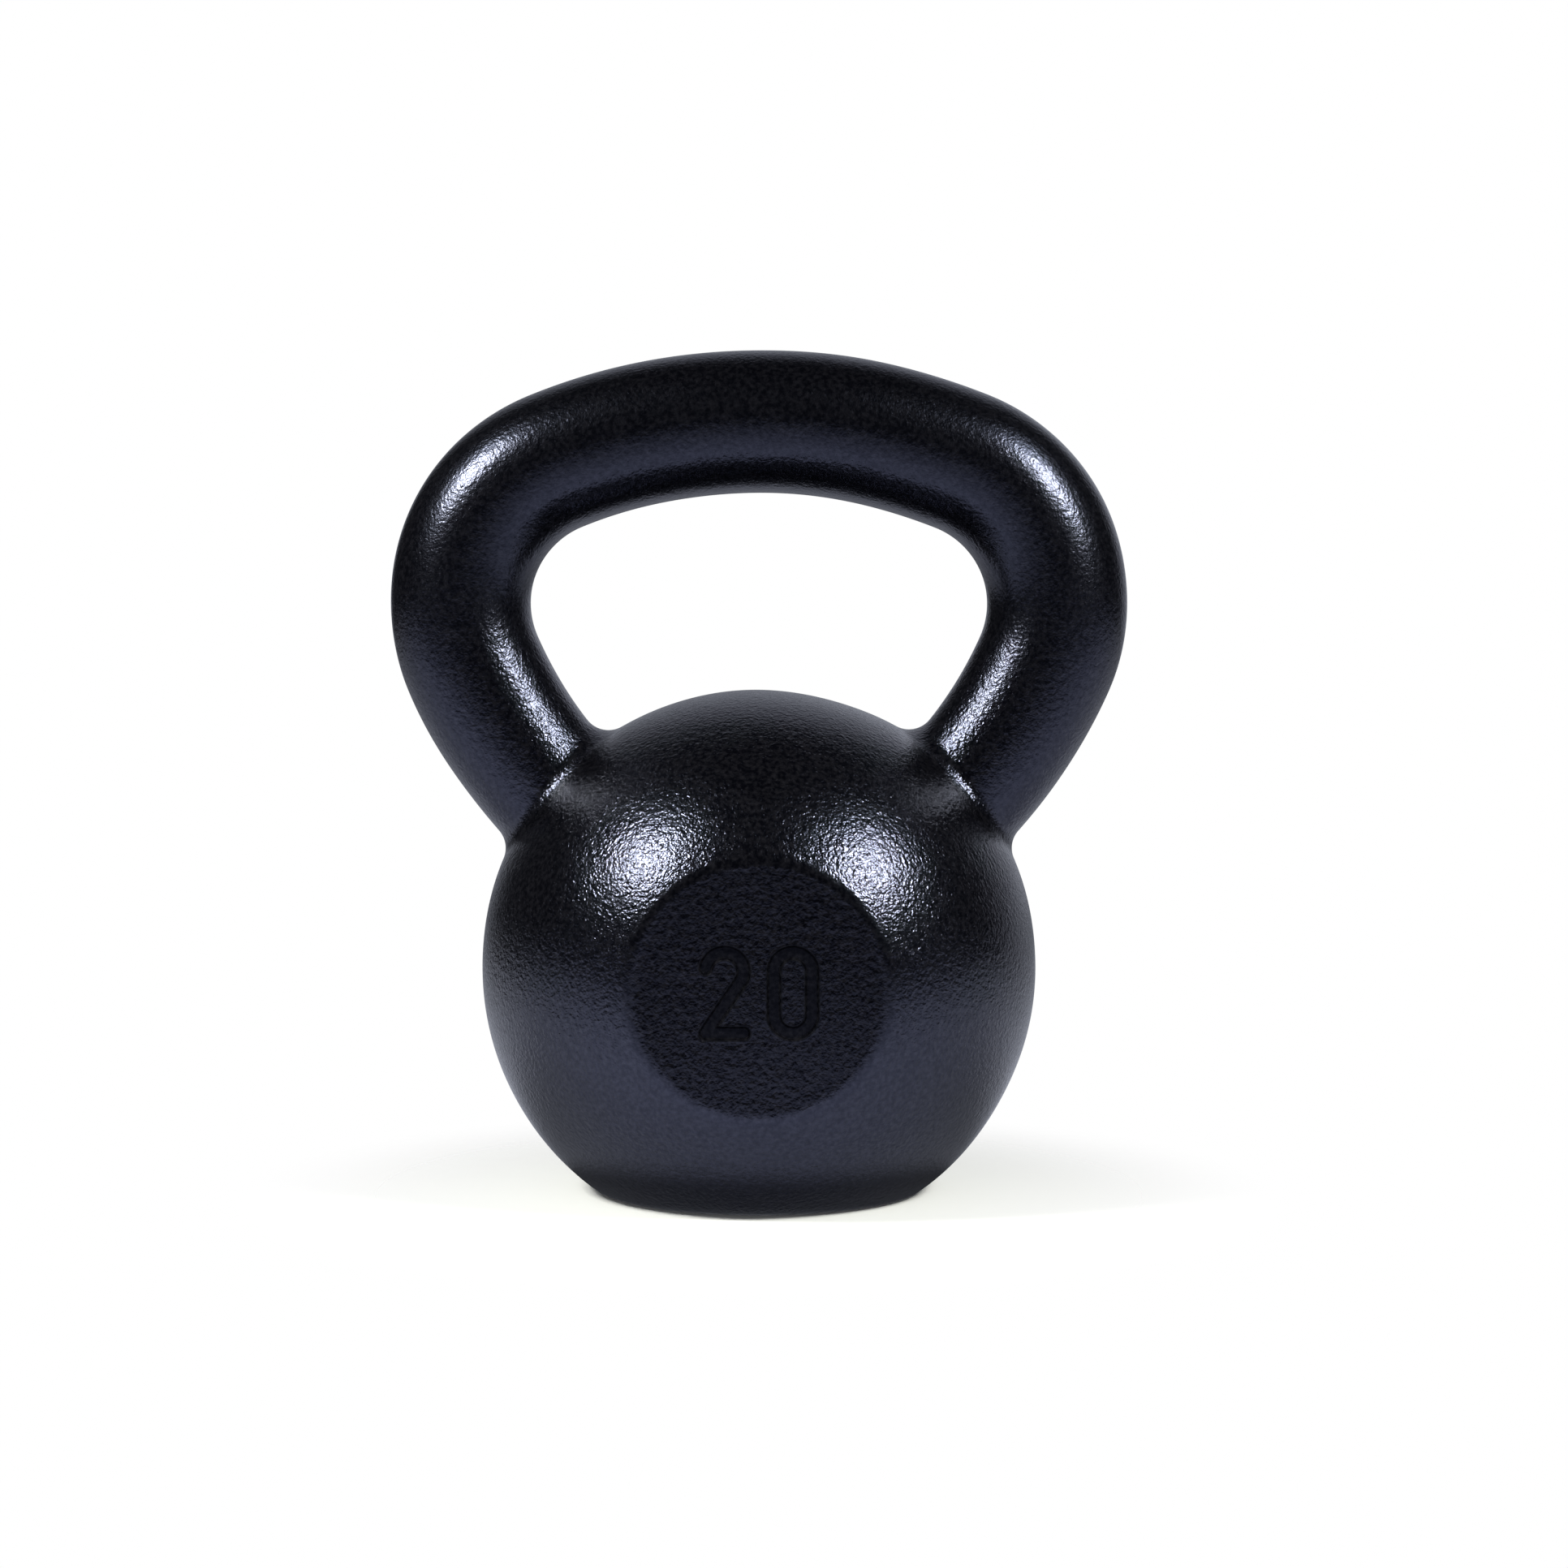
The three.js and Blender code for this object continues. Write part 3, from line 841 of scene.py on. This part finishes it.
def painted_floor_light(tree, where):
    """
    The floor's painted light and shade as the coat reflects it: a glow, not lit by the lamps. A
    painted pool of light, wider across than it is deep: low + rise / (1 + distance / reach). A painted
    shadow of the bell lies just behind it: 1 - depth exp(-(distance / size)^2). A painted dark line
    runs round the foot, where no light gets in.
    """
    def distance(centre, stretch):
        """Distance from a centre, with each axis divided by its own stretch."""
        moved = add_node(tree, "ShaderNodeVectorMath", {0: where, 1: centre}, operation="SUBTRACT")
        squeezed = add_node(tree, "ShaderNodeVectorMath", {0: moved.outputs[0], 1: stretch},
                            operation="DIVIDE")
        return add_node(tree, "ShaderNodeVectorMath", {0: squeezed.outputs[0]},
                        operation="LENGTH").outputs["Value"]

    pool_low, pool_rise, shadow_depth = 0.08, 1.56, 0.88
    fall = distance((-0.08, -0.109, 0.0), (0.66, 0.20, 1.0))
    pool = maths(tree, "DIVIDE", pool_rise, maths(tree, "ADD", 1.0, fall))
    pool = maths(tree, "ADD", pool, pool_low)
    behind = maths(tree, "POWER", distance((0.005, 0.008, 0.0), (0.185, 0.074, 1.0)), 2.0)
    shade = maths(tree, "EXPONENT", maths(tree, "MULTIPLY", behind, -1.0))
    from_middle = distance((0.0, 0.0, 0.0), (1.0, 1.0, 1.0))
    contact = add_node(
        tree, "ShaderNodeMapRange",
        {"Value": from_middle, "From Min": 0.058, "From Max": 0.070, "To Min": 0.26, "To Max": 1.0},
        interpolation_type="SMOOTHSTEP",
    ).outputs["Result"]
    open_part = maths(tree, "MULTIPLY", contact, left_after(tree, shade, shadow_depth))
    return maths(tree, "MULTIPLY", pool, open_part)


def make_floor():
    """
    A pale round sheet that fades into the pale room a little way from the bell, and that is clear
    from below. In reflections it glows instead, with a painted pool of light and painted shadow.
    """
    columns = 96
    turn = np.linspace(0, 2 * math.pi, columns, endpoint=False)
    level = np.full_like(turn, FLOOR_HEIGHT)
    points = np.stack([FLOOR_RADIUS * np.cos(turn), FLOOR_RADIUS * np.sin(turn), level], axis=-1)
    mesh = bpy.data.meshes.new("floor")
    mesh.from_pydata(points.tolist(), [], [list(range(columns))])
    floor = bpy.data.objects.new("floor", mesh)
    bpy.context.scene.collection.objects.link(floor)

    material, tree, shader = new_material("pale_floor")
    shader.inputs["Base Color"].default_value = (0.90, 0.90, 0.91, 1.0)
    shader.inputs["Roughness"].default_value = 0.9
    shader.inputs["Specular IOR Level"].default_value = 0.1
    where = add_node(tree, "ShaderNodeTexCoord").outputs["Object"]
    away = add_node(tree, "ShaderNodeVectorMath", {0: where}, operation="LENGTH").outputs["Value"]
    below = add_node(tree, "ShaderNodeNewGeometry").outputs["Backfacing"]
    seen = add_node(tree, "ShaderNodeMapRange", {"Value": away, "From Min": 0.03, "From Max": 0.16},
                    interpolation_type="SMOOTHSTEP")
    clear = add_node(tree, "ShaderNodeBsdfTransparent")
    shown = add_node(tree, "ShaderNodeMixShader",
                     {0: maths(tree, "MAXIMUM", seen.outputs["Result"], below),
                      1: shader.outputs[0], 2: clear.outputs[0]})
    # Seen in reflections, the floor is a glow with painted light and painted shade.
    glow = add_node(tree, "ShaderNodeEmission",
                    {"Color": STUDIO_TINT, "Strength": painted_floor_light(tree, where)})
    direct = add_node(tree, "ShaderNodeLightPath").outputs["Is Camera Ray"]
    mix = add_node(tree, "ShaderNodeMixShader", {0: direct, 1: glow.outputs[0], 2: shown.outputs[0]})
    output = next(node for node in tree.nodes if node.type == "OUTPUT_MATERIAL")
    tree.links.new(mix.outputs[0], output.inputs["Surface"])
    mesh.materials.append(material)


def make_room():
    """
    The surroundings: white when seen directly. In reflections they're nearly dark, with a soft
    bright patch high on the wall behind the bell and a lower one to each side of it. Each patch
    is given by the direction of its middle, and fades out with the angle from there.
    """
    world = bpy.data.worlds.new("studio")
    world.use_nodes = True
    tree = world.node_tree
    tree.nodes.clear()
    direct = add_node(tree, "ShaderNodeLightPath").outputs["Is Camera Ray"]
    pale = add_node(tree, "ShaderNodeBackground", {"Color": (1.0, 1.0, 1.0, 1.0), "Strength": 1.0})
    way = add_node(tree, "ShaderNodeTexCoord").outputs["Generated"]

    def patch(toward, edge, middle, strength):
        """Full strength where the cosine of the angle from its middle reaches middle, 0 at edge."""
        along = add_node(tree, "ShaderNodeVectorMath", {0: way, 1: toward}, operation="DOT_PRODUCT")
        return add_node(tree, "ShaderNodeMapRange",
                        {"Value": along.outputs["Value"], "From Min": edge, "From Max": middle,
                         "To Max": strength}, interpolation_type="SMOOTHSTEP").outputs["Result"]

    dark_wall = 0.030
    strength = dark_wall
    for part in (
        patch((0.10, 0.86, 0.50), edge=0.76, middle=1.02, strength=0.50),
        patch((0.50, 0.86, 0.06), edge=0.84, middle=1.00, strength=0.40),
        patch((-0.27, 0.96, 0.04), edge=0.965, middle=1.00, strength=0.35),
    ):
        strength = maths(tree, "ADD", part, strength)
    dim = add_node(tree, "ShaderNodeBackground", {"Color": STUDIO_TINT, "Strength": strength})
    mix = add_node(tree, "ShaderNodeMixShader", {0: direct, 1: dim.outputs[0], 2: pale.outputs[0]})
    output = add_node(tree, "ShaderNodeOutputWorld", {"Surface": mix.outputs[0]})
    output.is_active_output = True
    bpy.context.scene.world = world


def softbox(name, direction, size, radiance, colour):
    """
    A square light behind a grid, so that it shines mostly straight ahead. It stands in a
    direction from the bell's middle and faces a point low in its front half. A plain light's
    power is pi x area x radiance, and a grid of half-angle a passes 1 - a / tan(a) of it.
    """
    half_angle = math.radians(22)
    data = bpy.data.lights.new(name, "AREA")
    data.shape = "SQUARE"
    data.size = size
    data.energy = math.pi * size * size * radiance * (1 - half_angle / math.tan(half_angle))
    data.color = colour
    data.spread = 2 * half_angle
    light = bpy.data.objects.new(name, data)
    light.location = BELL_CENTRE + Vector(direction).normalized() * LAMP_DISTANCE
    back = light.location - LAMP_TARGET
    light.rotation_mode = "QUATERNION"
    light.rotation_quaternion = back.to_track_quat("Z", "Y")
    bpy.context.scene.collection.objects.link(light)


make_floor()
make_room()
# Each softbox has a hot middle, with a dimmer face round it.
softbox("left_softbox_middle", (-0.650, -0.400, 0.646), size=0.17, radiance=140.0, colour=LAMP_COLOUR)
softbox("left_softbox_face", (-0.655, -0.375, 0.670), size=0.36, radiance=7.5, colour=FACE_COLOUR)
softbox("right_softbox_middle", (0.640, -0.490, 0.592), size=0.17, radiance=128.0, colour=LAMP_COLOUR)
softbox("right_softbox_face", (0.630, -0.445, 0.650), size=0.36, radiance=7.0, colour=FACE_COLOUR)
bpy.context.scene.view_settings.view_transform = "Standard"
